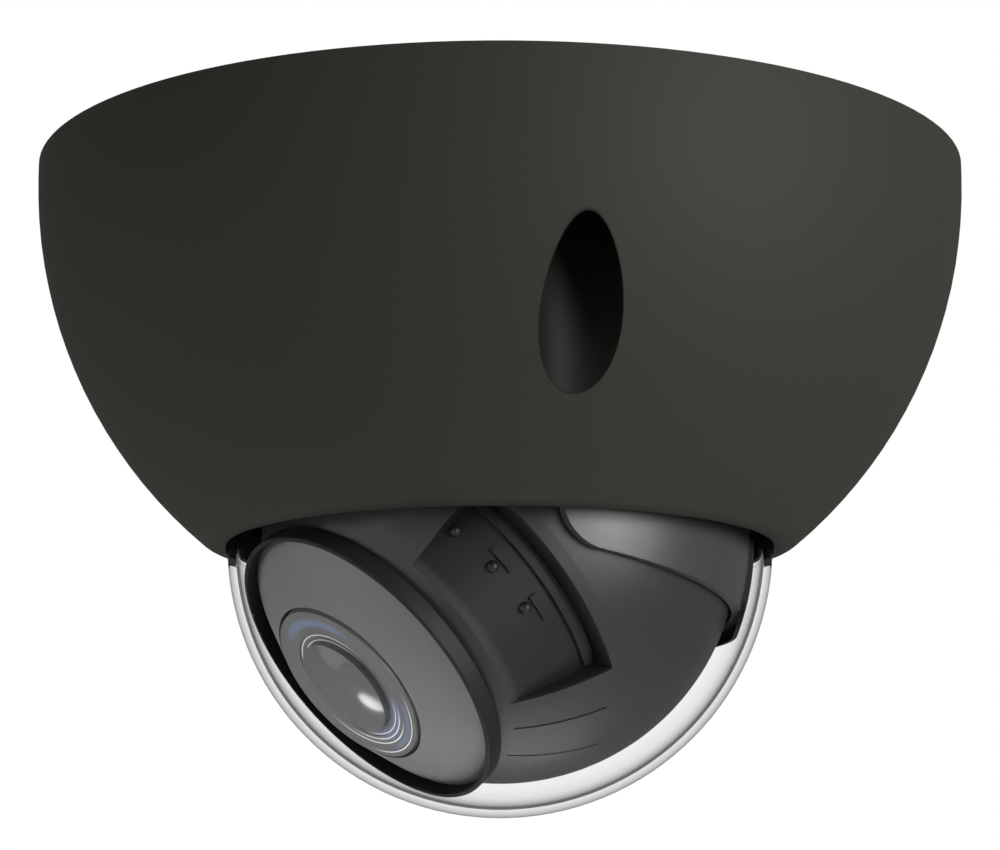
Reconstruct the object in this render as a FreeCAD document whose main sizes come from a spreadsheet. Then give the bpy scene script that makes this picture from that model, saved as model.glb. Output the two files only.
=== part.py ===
# Ceiling mounted pan and tilt dome camera, built as separate named pieces.
# Row frame: millimetres, +Z up, origin in the middle of the ceiling face, camera hangs towards -Z.
import FreeCAD, Part
import math
import os
import re

doc = FreeCAD.newDocument("dome_camera")
dims = doc.addObject("Spreadsheet::Sheet", "dims")
names = []


def size(name, value):
    """Write one named size into the sheet."""
    row = len(names) + 1
    names.append(name)
    dims.set("A%d" % row, name)
    dims.set("B%d" % row, str(value))
    dims.setAlias("B%d" % row, name)


# overall housing, depths are measured down from the ceiling
size("cover_dia", 122)
size("cover_wall", 2.6)
size("cover_top", 0.4)
size("cover_bottom", 50.0)
size("bowl_rise", 47.8)
size("lip_round", 4.0)
size("lip_thick", 3.0)
size("pocket_angle", 280)
size("pocket_radius", 4.85)
size("pocket_wall", 1.8)
size("pocket_top", 10.0)
size("pocket_floor", 2.5)
# clear dome
size("dome_radius", 35.5)
size("dome_wall", 1.4)
size("ball_rise", 0.7)
size("dome_flange_thick", 1.2)
size("dome_seal_thick", 1.0)
size("dome_bead", 0.55)
size("clamp_thick", 1.2)
# base
size("pad_thick", 1.0)
size("plate_thick", 3.0)
size("plate_inset", 3.6)
size("rim_thick", 2.8)
size("rim_bottom", 6.0)
size("cord_radius", 0.95)
size("cable_bore", 3.2)
size("cable_hole", 6.5)
size("mount_hole", 4.5)
size("leg_radius", 3.5)
size("standoff_circle", 38.0)
size("board_radius", 42.0)
size("board_thick", 1.6)
# chassis and pan drive
size("chassis_thick", 2.0)
size("neck_inner", 26.0)
size("neck_outer", 27.6)
size("inner_race", 29.0)
size("ball_circle", 30.7)
size("race_ball", 1.25)
size("outer_race", 32.4)
size("holder_inner", 33.8)
size("holder_outer", 35.2)
size("pan_module", 0.6)
size("pan_gear_teeth", 130)
size("pan_pinion_teeth", 14)
size("pan_gear_inner", 33.5)
size("deck_radius", 37.2)
size("pan_motor_angle", 100)
size("pan_motor_radius", 7.5)
size("pan_stop_width", 1.44)
# turret
size("pan_rest", 212)
size("turret_outer", 32.6)
size("turret_wall", 1.1)
size("shield_radius", 33.1)
size("shield_width", 42.4)
size("shield_round", 5.0)
size("gear_screw_circle", 35.4)
size("turret_open_angle", 70)
size("skirt_front", 4.0)
size("skirt_slope", 9.0)
size("skirt_round", 6.0)
size("pivot_radius", 1.5)
size("pivot_skin", 0.25)
# head
size("tilt_rest", 41)
size("head_radius", 31.1)
size("head_wall", 1.6)
size("shell_front", 24.3)
size("shell_bore", 17.4)
size("shell_land", 3.3)
size("recess_back", 11.6)
size("floor_back", 26.0)
size("floor_front", 20.6)
size("recess_angle", 30)
size("crease_depth", 0.25)
size("ring_front", 26.8)
size("ring_radius", 20.6)
size("ring_bore", 20.0)
size("ring_round", 0.25)
size("face_edge", 24.95)
size("face_front", 29.6)
size("face_hole", 11.9)
size("face_thick", 1.4)
size("face_land", 2.4)
size("barrel_radius", 9.6)
size("barrel_back", 0.6)
size("lens_front", 31.8)
size("zoom_rest", 17.0)
size("focus_rest", 7.5)
size("cell_length", 4.0)
size("frame_front", 4.6)
size("frame_thick", 1.6)
size("frame_radius", 17.2)
size("frame_screw_circle", 14.8)
size("tilt_module", 0.5)
size("tilt_gear_teeth", 60)
size("tilt_pinion_teeth", 10)
size("tilt_gear_side", 18.0)
size("tilt_gear_thick", 2.0)
size("tilt_motor_radius", 5.0)
doc.recompute()

# sizes that follow others
ties = {
    "bowl_centre_depth": "cover_bottom - bowl_rise",
    "ball_depth": "cover_bottom - ball_rise",
    "opening_radius": "dome_radius + 0.2",
    "dome_flange_radius": "dome_radius + 1.9",
    "clamp_screw_circle": "dome_radius + 3.5",
    "pocket_circle": "cover_dia / 2 - 7.35",
    "plate_radius": "cover_dia / 2 - plate_inset",
    "pad_radius": "plate_radius - 1.4",
    "mount_circle": "plate_radius - 6.9",
    "leg_circle": "plate_radius - 8.4",
    "chassis_radius": "plate_radius - 11.4",
    "seal_depth": "rim_bottom - 2.05",
    "board_top": "pad_thick + plate_thick + 4",
    "chassis_top": "board_top + 11",
    "race_top": "chassis_top + 3",
    "race_bottom": "race_top + 4",
    "deck_top": "race_bottom + 2",
    "deck_bottom": "deck_top + 2",
    "pan_gear_bottom": "deck_bottom + 2.6",
    "shield_top": "ball_depth - 13.3",
    "shield_bottom": "ball_depth + 12.3",
    "barrel_bore": "barrel_radius - 1.3",
}


def val(name):
    """Read one size back from the sheet as a plain number."""
    return float(dims.get(name))


def ref(text):
    """Turn an expression in size names into one that points at the sheet."""
    def point(match):
        word = match.group(0)
        if word in ties:
            return "(" + ref(ties[word]) + ")"
        return "dims." + word if word in names else word
    return re.sub(r"[a-z]\w+", point, str(text))


ball_down = val("cover_bottom") - val("ball_rise")


def bind(obj, **sizes):
    """Tie properties of a feature to the sheet."""
    for prop, text in sizes.items():
        obj.setExpression(prop.replace("_", "."), ref(text))
    return obj


def polar(radius, angle):
    """Plan position from a radius expression and an angle in degrees."""
    x = "(%s) * %.9f" % (radius, math.cos(math.radians(angle)))
    y = "(%s) * %.9f" % (radius, math.sin(math.radians(angle)))
    return x, y


def at(obj, x="0", y="0", z="0"):
    return bind(obj, Placement_Base_x=x, Placement_Base_y=y, Placement_Base_z=z)


def disc(radius, top, bottom, x="0", y="0"):
    """Upright cylinder between two depths below the ceiling."""
    obj = doc.addObject("Part::Cylinder", "cylinder")
    bind(obj, Radius=radius, Height="(%s) - (%s)" % (bottom, top))
    return at(obj, x, y, "-(%s)" % bottom)


def along_x(radius, start, end, y="0", z="0"):
    """Cylinder along the lens axis of the head."""
    obj = doc.addObject("Part::Cylinder", "cylinder")
    obj.Placement = FreeCAD.Placement(FreeCAD.Vector(), FreeCAD.Rotation(FreeCAD.Vector(0, 1, 0), 90))
    bind(obj, Radius=radius, Height="(%s) - (%s)" % (end, start))
    return at(obj, start, y, z)


def along_y(radius, start, end, x="0", z="0"):
    """Cylinder along the tilt axis."""
    obj = doc.addObject("Part::Cylinder", "cylinder")
    obj.Placement = FreeCAD.Placement(FreeCAD.Vector(), FreeCAD.Rotation(FreeCAD.Vector(1, 0, 0), -90))
    bind(obj, Radius=radius, Height="(%s) - (%s)" % (end, start))
    return at(obj, x, start, z)


def cone_x(radius_start, radius_end, start, end):
    obj = doc.addObject("Part::Cone", "cone")
    obj.Placement = FreeCAD.Placement(FreeCAD.Vector(), FreeCAD.Rotation(FreeCAD.Vector(0, 1, 0), 90))
    bind(obj, Radius1=radius_start, Radius2=radius_end, Height="(%s) - (%s)" % (end, start))
    return at(obj, start)


def block(length, width, height, x, y, z, turn=0):
    """Box centred on x and y with its lowest face at z, turned about the upright axis."""
    obj = doc.addObject("Part::Box", "box")
    rot = FreeCAD.Rotation(FreeCAD.Vector(0, 0, 1), turn)
    obj.Placement = FreeCAD.Placement(FreeCAD.Vector(), rot)
    bind(obj, Length=length, Width=width, Height=height)
    c = math.cos(math.radians(turn))
    s = math.sin(math.radians(turn))
    shift_x = "(%s) - (%s) / 2 * %.9f + (%s) / 2 * %.9f" % (x, length, c, width, s)
    shift_y = "(%s) - (%s) / 2 * %.9f - (%s) / 2 * %.9f" % (y, length, s, width, c)
    return at(obj, shift_x, shift_y, z)


def ball(radius, x="0", y="0", z="0"):
    obj = doc.addObject("Part::Sphere", "sphere")
    bind(obj, Radius=radius)
    return at(obj, x, y, z)


def hoop(ring_radius, section, z):
    """Round-section ring about the upright axis."""
    obj = doc.addObject("Part::Torus", "torus")
    bind(obj, Radius1=ring_radius, Radius2=section)
    return at(obj, "0", "0", z)


def fuse(*parts):
    obj = doc.addObject("Part::MultiFuse", "fuse")
    obj.Shapes = list(parts)
    return obj


def common(*parts):
    obj = doc.addObject("Part::MultiCommon", "common")
    obj.Shapes = list(parts)
    return obj


def cut(base, *tools):
    tool = tools[0]
    if len(tools) > 1:
        tool = fuse(*tools)
    obj = doc.addObject("Part::Cut", "cut")
    obj.Base = base
    obj.Tool = tool
    return obj


def group(*parts):
    """Several separate solids kept as one sub-part, as for a set of screws."""
    obj = doc.addObject("Part::Compound", "group")
    obj.Links = list(parts)
    return obj


def ring(outer, inner, top, bottom):
    return cut(disc(outer, top, bottom), disc(inner, "(%s) - 1" % top, "(%s) + 1" % bottom))


def ring_x(outer, inner, start, end):
    return cut(along_x(outer, start, end), along_x(inner, "(%s) - 1" % start, "(%s) + 1" % end))


nodes = []
body_at = {
    "base": FreeCAD.Placement(),
    "turret": FreeCAD.Placement(
        FreeCAD.Vector(0, 0, 0), FreeCAD.Rotation(FreeCAD.Vector(0, 0, 1), val("pan_rest"))),
}
turn_pan = FreeCAD.Rotation(FreeCAD.Vector(0, 0, 1), val("pan_rest"))
turn_tilt = FreeCAD.Rotation(FreeCAD.Vector(0, 1, 0), val("tilt_rest"))
body_at["yoke"] = FreeCAD.Placement(FreeCAD.Vector(0, 0, -ball_down), turn_pan)
body_at["head"] = FreeCAD.Placement(FreeCAD.Vector(0, 0, -ball_down), turn_pan.multiply(turn_tilt))


def keep(label, obj, body="base"):
    """Name a finished sub-part and put it where its body sits."""
    if any(path.startswith((".Placement", "Placement")) for path, text in obj.ExpressionEngine):
        obj = group(obj)
    obj.Label = label
    obj.Placement = body_at[body]
    nodes.append(obj)
    return obj


# gear teeth -------------------------------------------------------------

def gear_outline(module, teeth, phase, slack):
    """Closed flat outline of an involute spur gear with its teeth thinned by the slack."""
    pitch = module * teeth / 2.0
    press = math.radians(20)
    base = pitch * math.cos(press)
    tip = pitch + 0.8 * module
    root = pitch - 1.15 * module
    half = math.pi / (2 * teeth) - slack / (2 * pitch)
    inv = math.tan(press) - press
    flank = []
    low = max(base, root)
    for step in range(4):
        radius = low + (tip - low) * step / 3.0
        roll = math.acos(min(1.0, base / radius))
        flank.append((radius, half + inv - (math.tan(roll) - roll)))
    if root < base:
        flank.insert(0, (root, half + inv))
    points = []
    for tooth in range(int(teeth)):
        middle = phase + 2 * math.pi * tooth / teeth
        for radius, away in flank:
            points.append((radius, middle - away))
        for radius, away in reversed(flank):
            points.append((radius, middle + away))
    corners = [FreeCAD.Vector(r * math.cos(a), r * math.sin(a), 0) for r, a in points]
    corners.append(corners[0])
    return Part.Face(Part.makePolygon(corners))


def gear(module, teeth, phase, slack, thick, label):
    """Toothed wheel standing on the plane z = 0."""
    outline = doc.addObject("Part::Feature", label + "_outline")
    outline.Shape = gear_outline(module, teeth, phase, slack)
    obj = doc.addObject("Part::Extrusion", label + "_teeth")
    obj.Base = outline
    obj.DirMode = "Custom"
    obj.Dir = FreeCAD.Vector(0, 0, 1)
    obj.Solid = True
    bind(obj, LengthFwd=thick)
    return obj


pan_centre = "(pan_module * (pan_gear_teeth + pan_pinion_teeth) / 2 + 0.05)"
tilt_centre = "(tilt_module * (tilt_gear_teeth + tilt_pinion_teeth) / 2 + 0.05)"
pocket_angles = [val("pocket_angle") + 120 * i for i in range(3)]
leg_angles = [a + 30 for a in pocket_angles]
mount_angles = [a - 30 for a in pocket_angles]
standoff_angles = [val("pocket_angle") + 45 + 90 * i for i in range(4)]
bowl = "(cover_dia / 2)"


# base body --------------------------------------------------------------

def make_seal_pad():
    holes = [disc("cable_hole + 1", "-1", "pad_thick + 1")]
    for angle in mount_angles:
        x, y = polar("mount_circle", angle)
        holes.append(disc("mount_hole / 2", "-1", "pad_thick + 1", x, y))
    keep("seal_pad", cut(disc("pad_radius", "0", "pad_thick"), *holes))


def make_base_plate():
    plate_bottom = "(pad_thick + plate_thick)"
    solids = [disc("plate_radius", "pad_thick", plate_bottom)]
    solids.append(ring("plate_radius", "plate_radius - rim_thick", "pad_thick + 1", "rim_bottom"))
    cuts = [disc("cable_hole", "0", "pad_thick + plate_thick + 1")]
    groove = ring("plate_radius + 1", "plate_radius - 1.1", "seal_depth - cord_radius - 0.1",
                  "seal_depth + cord_radius + 0.1")
    cuts.append(groove)
    for angle in pocket_angles:
        x, y = polar("pocket_circle", angle)
        solids.append(disc("3.5", "pad_thick + 1", "pocket_top - 0.1", x, y))
        cuts.append(disc("1.6", "pad_thick + 1", "pocket_top + 1", x, y))
    for angle in leg_angles:
        x, y = polar("leg_circle", angle)
        solids.append(disc("leg_radius", "pad_thick + 1", "chassis_top", x, y))
        cuts.append(disc("1.0", "chassis_top - 8", "chassis_top + 1", x, y))
    for angle in mount_angles:
        x, y = polar("mount_circle", angle)
        cuts.append(disc("mount_hole / 2", "0", "pad_thick + plate_thick + 1", x, y))
    for angle in standoff_angles:
        x, y = polar("standoff_circle", angle)
        solids.append(disc("2.6", "pad_thick + 1", "board_top", x, y))
        cuts.append(disc("0.8", "board_top - 4", "board_top + 1", x, y))
    keep("base_plate", cut(fuse(*solids), *cuts))


def make_base_seal():
    keep("base_seal", hoop("plate_radius - 1.1 + cord_radius + 0.02", "cord_radius", "-seal_depth"))


def make_cable_grommet():
    flange = disc("cable_hole + 1.8", "pad_thick + plate_thick", "pad_thick + plate_thick + 1.2")
    body = disc("cable_hole", "0.2", "pad_thick + plate_thick + 0.5")
    bore = disc("cable_bore", "-1", "pad_thick + plate_thick + 3")
    keep("cable_grommet", cut(fuse(flange, body), bore))


def make_main_board():
    holes = [disc("6", "board_top - 1", "board_top + board_thick + 1")]
    for angle in standoff_angles:
        x, y = polar("standoff_circle", angle)
        holes.append(disc("1.15", "board_top - 1", "board_top + board_thick + 1", x, y))
    keep("main_board", cut(disc("board_radius", "board_top", "board_top + board_thick"), *holes))


def screw(x, y, head_top, shank, shank_radius, head_radius, head_thick):
    """Screw driven upwards: head hangs below the depth given, shank above, cross slot in the head."""
    head = disc(head_radius, head_top, "(%s) + (%s)" % (head_top, head_thick), x, y)
    stem = disc(shank_radius, "(%s) - (%s)" % (head_top, shank), "(%s) + 0.2" % head_top, x, y)
    low = "-((%s) + (%s)) - 0.2" % (head_top, head_thick)
    slot_a = block("(%s) * 1.3" % head_radius, "(%s) * 0.28" % head_radius, "0.7", x, y, low)
    slot_b = block("(%s) * 0.28" % head_radius, "(%s) * 1.3" % head_radius, "0.7", x, y, low)
    return cut(fuse(head, stem), slot_a, slot_b)


def make_board_screws():
    parts = []
    for angle in standoff_angles:
        x, y = polar("standoff_circle", angle)
        parts.append(screw(x, y, "board_top + board_thick", "4.4", "0.8", "1.8", "1.2"))
    keep("board_screws", group(*parts))


def make_board_parts():
    low = "board_top + board_thick"
    x, y = polar("19", 250)
    keep("processor", block("13", "13", "1.3", x, y, "-(%s) - 1.3" % low, 250))
    x, y = polar("27", 10)
    jack = block("16", "15", "8.6", x, y, "-(%s) - 8.6" % low, 10)
    x, y = polar("30.5", 10)
    mouth = block("12.4", "11.8", "6.4", x, y, "-(%s) - 7.4" % low, 10)
    keep("network_connector", cut(jack, mouth))
    x, y = polar("28", 160)
    plug = block("6", "10", "6", x, y, "-(%s) - 6" % low, 160)
    x, y = polar("29.2", 160)
    slot = block("4.4", "8.4", "4", x, y, "-(%s) - 5" % low, 160)
    keep("power_connector", cut(plug, slot))
    x, y = polar("29", 200)
    socket = block("14", "13.5", "2", x, y, "-(%s) - 2" % low, 200)
    x, y = polar("31.5", 200)
    slit = block("13", "11.6", "1", x, y, "-(%s) - 1.5" % low, 200)
    keep("card_socket", cut(socket, slit))
    x, y = polar("35", 310)
    switch = block("5", "5", "2.2", x, y, "-(%s) - 2.2" % low, 310)
    keep("reset_switch_body", cut(switch, disc("1.3", "(%s) + 0.6" % low, "(%s) + 3" % low, x, y)))
    cap = disc("1.25", "(%s) + 1.2" % low, "(%s) + 3.2" % low, x, y)
    keep("reset_button", cap)


def make_chassis_frame():
    low = "(chassis_top + chassis_thick)"
    angle = val("pan_motor_angle")
    solids = [disc("chassis_radius", "chassis_top", low)]
    for a in leg_angles:
        x, y = polar("leg_circle", a)
        solids.append(disc("leg_radius + 1", "chassis_top", low, x, y))
    x, y = polar(pan_centre, angle)
    solids.append(block("16", "27", "chassis_thick", x, y, "-" + low, angle))
    solids.append(disc("holder_outer", "chassis_top", "race_bottom + 0.6"))
    post_x, post_y = polar("(holder_inner + holder_outer) / 2", val("pan_rest") + 180)
    post = block("holder_outer - holder_inner - 0.1", "pan_stop_width", "3", post_x, post_y,
                 "-(deck_top - 0.25)", val("pan_rest") + 180)
    cuts = [disc("holder_inner", low, "deck_top + 1")]
    cuts.append(disc("ball_circle", "chassis_top - 1", "chassis_top + 3"))
    cuts.append(disc("pan_motor_radius + 0.2", "chassis_top - 1", "deck_top", x, y))
    for a in leg_angles:
        sx, sy = polar("leg_circle", a)
        cuts.append(disc("1.3", "chassis_top - 1", "chassis_top + 4", sx, sy))
    for side in (-1, 1):
        sx, sy = motor_ear(side)
        cuts.append(disc("0.8", "chassis_top - 1", "chassis_top + 4", sx, sy))
    keep("chassis_frame", fuse(cut(fuse(*solids), *cuts), post))


def motor_ear(side):
    angle = val("pan_motor_angle")
    x, y = polar(pan_centre, angle)
    ox, oy = polar("pan_motor_radius + 2.6", angle + 90 * side)
    return "%s + %s" % (x, ox), "%s + %s" % (y, oy)


def make_chassis_screws():
    parts = []
    for angle in leg_angles:
        x, y = polar("leg_circle", angle)
        parts.append(screw(x, y, "chassis_top + chassis_thick", "8", "1.0", "2.2", "1.5"))
    keep("chassis_screws", group(*parts))


def make_bearing():
    middle = "-(race_top + race_bottom) / 2"
    outer = ring("holder_inner", "outer_race", "race_top", "race_bottom")
    keep("bearing_outer", cut(outer, hoop("ball_circle", "race_ball + 0.05", middle)))
    inner = ring("inner_race", "neck_outer", "race_top", "race_bottom")
    keep("bearing_inner", cut(inner, hoop("ball_circle", "race_ball + 0.05", middle)), "turret")
    count = 24
    parts = []
    for index in range(count):
        x, y = polar("ball_circle", 360.0 / count * index + 4)
        parts.append(ball("race_ball", x, y, middle))
    keep("bearing_balls", group(*parts))


def make_pan_motor():
    angle = val("pan_motor_angle")
    x, y = polar(pan_centre, angle)
    can = disc("pan_motor_radius", "chassis_top - 1", "deck_top - 0.4", x, y)
    plate = block("9", "2 * pan_motor_radius", "1", x, y, "-chassis_top", angle)
    ears = [plate]
    holes = []
    for side in (-1, 1):
        ex, ey = motor_ear(side)
        ears.append(disc("2.2", "chassis_top - 1", "chassis_top", ex, ey))
        hx, hy = polar("pan_motor_radius + 1.0", angle + 90 * side)
        ears.append(block("4.4", "4", "1", "%s + %s" % (x, hx), "%s + %s" % (y, hy), "-chassis_top", angle))
        holes.append(disc("0.9", "chassis_top - 2", "chassis_top + 1", ex, ey))
    boss = disc("2.2", "deck_top - 1", "deck_top + 0.4", x, y)
    shaft = disc("0.75", "deck_top - 1", "pan_gear_bottom + 0.3", x, y)
    keep("pan_motor", cut(fuse(can, boss, shaft, *ears), *holes))


def make_pan_motor_screws():
    parts = []
    for side in (-1, 1):
        x, y = motor_ear(side)
        head = disc("1.5", "chassis_top - 2", "chassis_top - 1", x, y)
        stem = disc("0.75", "chassis_top - 1.2", "chassis_top + 2.4", x, y)
        slot = block("2", "0.4", "0.6", x, y, "-(chassis_top - 1.6)")
        parts.append(cut(fuse(head, stem), slot))
    keep("pan_motor_screws", group(*parts))


def make_pan_pinion():
    teeth = val("pan_pinion_teeth")
    angle = val("pan_motor_angle")
    phase = math.radians(angle + 180 + 180.0 / teeth)
    thick = "pan_gear_bottom - deck_bottom + 0.2"
    wheel = gear(val("pan_module"), teeth, phase, 0.06, thick, "pan_pinion")
    bore = disc("0.77", "-9", "1")
    body = cut(wheel, bore)
    x, y = polar(pan_centre, angle)
    holder = group(body)
    holder.Label = "pan_pinion"
    at(holder, x, y, "-(pan_gear_bottom + 0.1)")
    nodes.append(holder)


# turret body ------------------------------------------------------------

def make_turret_shroud():
    depth = "ball_depth"
    hoop_wall = ring("turret_outer", "turret_outer - turret_wall", "deck_top", "ball_depth")
    skin = cut(ball("turret_outer", "0", "0", "-ball_depth"),
               ball("turret_outer - turret_wall", "0", "0", "-ball_depth"))
    wall = fuse(hoop_wall, common(skin, disc("turret_outer + 1", "ball_depth", "ball_depth + 30")))
    keep_box = doc.addObject("Part::Box", "box")
    slope = val("skirt_slope")
    keep_box.Placement = FreeCAD.Placement(
        FreeCAD.Vector(), FreeCAD.Rotation(FreeCAD.Vector(0, 1, 0), -slope))
    bind(keep_box, Length="70", Width="80", Height="60")
    c = math.cos(math.radians(slope))
    s = math.sin(math.radians(slope))
    front = "turret_outer * cos(turret_open_angle * 1deg)"
    corner_x = "(%s) - 70 * %.9f" % (front, c)
    corner_z = "-(ball_depth + skirt_front) - 70 * %.9f" % s
    at(keep_box, corner_x, "-40", corner_z)
    doc.recompute()
    rounded = round_edge(keep_box, front_low_edge, "skirt_round")
    wall = common(wall, rounded)
    trim = block("60", "90", "60", "%s + 30" % front, "0", "-(deck_bottom) - 60")
    wall = cut(wall, trim)
    deck = ring("deck_radius", "neck_inner", "deck_top", "deck_bottom")
    neck = ring("neck_outer", "neck_inner", "chassis_top + chassis_thick + 0.4", "deck_top + 1")
    tab = block("holder_outer - holder_inner - 0.1", "pan_stop_width", "1.9",
                "(holder_inner + holder_outer) / 2", "0", "-(deck_top + 1)")
    shoulder = ring("neck_outer + 0.8", "neck_inner", "race_bottom + 0.2", "deck_top + 1")
    holes = []
    for angle in turret_screw_angles:
        x, y = polar("gear_screw_circle", angle)
        holes.append(disc("0.8", "deck_top + 0.3", "deck_bottom + 1", x, y))
    for side in (-1, 1):
        if side < 0:
            pin_hole = along_y("pivot_radius", "-(turret_outer - pivot_skin)", "-20", "0", "-" + depth)
        else:
            pin_hole = along_y("pivot_radius", "20", "turret_outer - pivot_skin", "0", "-" + depth)
        holes.append(pin_hole)
    top = ring("turret_outer", "turret_outer - turret_wall", "deck_top + 0.5", "deck_bottom + 0.8")
    body = fuse(wall, deck, neck, tab, shoulder, top)
    keep("turret_shroud", cut(body, *holes), "turret")


turret_screw_angles = [45, 135, 225, 315]


def shield_low_edge(edge):
    """The two lower corners of the block that shapes the shield, running towards the middle."""
    box = edge.BoundBox
    return box.XLength > 15 and box.ZMax < -ball_down - 12


def make_rear_shield():
    """Thin glossy cover bonded to the back of the turret."""
    inner = "turret_outer + 0.02"
    upper = ring("shield_radius", inner, "shield_top", "ball_depth")
    skin = cut(ball("shield_radius", "0", "0", "-ball_depth"), ball(inner, "0", "0", "-ball_depth"))
    lower = common(skin, disc("shield_radius + 1", "ball_depth", "ball_depth + 30"))
    outline = block("20", "shield_width", "shield_bottom - shield_top + 1", "-30", "0", "-shield_bottom")
    doc.recompute()
    outline = round_edge(outline, shield_low_edge, "shield_round")
    keep("rear_shield", common(fuse(upper, lower), outline), "turret")


def front_low_edge(edge):
    """The long edge at the front and bottom of the box that shapes the skirt."""
    box = edge.BoundBox
    mid = edge.CenterOfMass
    return box.YLength > 70 and abs(mid.x - val("turret_outer") * math.cos(
        math.radians(val("turret_open_angle")))) < 0.5 and mid.z < -ball_down


def round_edge(obj, test, *radii):
    """Round every edge that passes the test, radius tied to a sheet value."""
    found = [i + 1 for i, edge in enumerate(obj.Shape.Edges) if test(edge)]
    if not found:
        raise RuntimeError("no edge to round on " + obj.Name)
    rounded = doc.addObject("Part::Fillet", "round")
    rounded.Base = obj
    rounded.Edges = [(i, val(radii[0]), val(radii[0])) for i in found]
    return rounded


def make_pan_gear():
    teeth = val("pan_gear_teeth")
    pitch = 2 * math.pi / teeth
    phase = math.radians(val("pan_motor_angle") - val("pan_rest")) % pitch
    wheel = gear(val("pan_module"), teeth, phase, 0.06, "pan_gear_bottom - deck_bottom", "pan_gear")
    bore = disc("pan_gear_inner", "-9", "1")
    holes = [bore]
    for angle in turret_screw_angles:
        x, y = polar("gear_screw_circle", angle)
        holes.append(disc("0.9", "-9", "1", x, y))
    holder = cut(wheel, *holes)
    holder.Label = "pan_gear"
    holder.Placement = body_at["turret"]
    bind(holder, Placement_Base_z="-pan_gear_bottom")
    nodes.append(holder)


def make_turret_screws():
    parts = []
    for angle in turret_screw_angles:
        x, y = polar("gear_screw_circle", angle)
        parts.append(screw(x, y, "pan_gear_bottom", "4", "0.8", "1.35", "0.8"))
    keep("turret_screws", group(*parts), "turret")


def make_pivot_pins():
    plain = along_y("pivot_radius", "27", "turret_outer - pivot_skin")
    geared = along_y("pivot_radius", "-(turret_outer - pivot_skin)", "-tilt_gear_side + 0.5")
    keep("pivot_pins", group(plain, geared), "yoke")


def make_tilt_fixed_gear():
    """Toothed sector that stays with the turret inside the head."""
    teeth = val("tilt_gear_teeth")
    pinion_at = 180 - val("tilt_rest")
    phase = -math.radians(pinion_at)
    wheel = gear(val("tilt_module"), teeth, phase, 0.05, "tilt_gear_thick", "tilt_gear")
    wedge = doc.addObject("Part::Cylinder", "wedge")
    wedge.Placement = FreeCAD.Placement(
        FreeCAD.Vector(), FreeCAD.Rotation(FreeCAD.Vector(0, 0, 1), -pinion_at - 62))
    bind(wedge, Radius="22", Height="tilt_gear_thick")
    wedge.Angle = 128
    hub = doc.addObject("Part::Cylinder", "hub")
    bind(hub, Radius="2.7", Height="tilt_gear_thick")
    bore = doc.addObject("Part::Cylinder", "bore")
    bind(bore, Radius="pivot_radius", Height="tilt_gear_thick + 2")
    at(bore, "0", "0", "-1")
    part = cut(fuse(common(wheel, wedge), hub), bore)
    holder = group(part)
    holder.Label = "tilt_fixed_gear"
    lay = FreeCAD.Rotation(FreeCAD.Vector(1, 0, 0), -90)
    holder.Placement = FreeCAD.Placement(
        body_at["yoke"].multVec(FreeCAD.Vector(0, -val("tilt_gear_side") - val("tilt_gear_thick"), 0)),
        turn_pan.multiply(lay))
    nodes.append(holder)


# head body --------------------------------------------------------------

def wedge_x(angle_middle, half_angle, radius, start, end):
    """Pie-shaped slice about the lens axis, angle measured from the tilt axis."""
    obj = doc.addObject("Part::Cylinder", "wedge")
    spin = FreeCAD.Rotation(FreeCAD.Vector(1, 0, 0), angle_middle - half_angle)
    stand = FreeCAD.Rotation(FreeCAD.Vector(1, 1, 1), 120)
    obj.Placement = FreeCAD.Placement(FreeCAD.Vector(), spin.multiply(stand))
    bind(obj, Radius=radius, Height="(%s) - (%s)" % (end, start))
    obj.Angle = 2 * half_angle
    return at(obj, start)


def floor_place(angle, radius):
    """Position on the recess floor for an angle from the tilt axis."""
    y = "(%s) * %.9f" % (radius, math.cos(math.radians(angle)))
    z = "(%s) * %.9f" % (radius, math.sin(math.radians(angle)))
    return y, z


floor_slope = "((floor_back - floor_front) / (shell_front - recess_back))"


def floor_cone(shift):
    """Cone that the recess floors lie on, moved out or in by the shift."""
    wide = "floor_back + 3 * %s + (%s)" % (floor_slope, shift)
    narrow = "floor_front - %s + (%s)" % (floor_slope, shift)
    return cone_x(wide, narrow, "recess_back - 3", "shell_front + 1")


def on_floor(place):
    """Distance of the recess floor from the lens axis at a place along it."""
    return "(floor_back - (%s - recess_back) * %s)" % (place, floor_slope)


def recess_slice(middle, half, start, end, shift):
    """Piece of a recess wall or rib standing on the floor cone."""
    return cut(wedge_x(middle, half, "40", start, end), floor_cone(shift))


def below_floor(obj, shift):
    return common(obj, floor_cone(shift))


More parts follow.
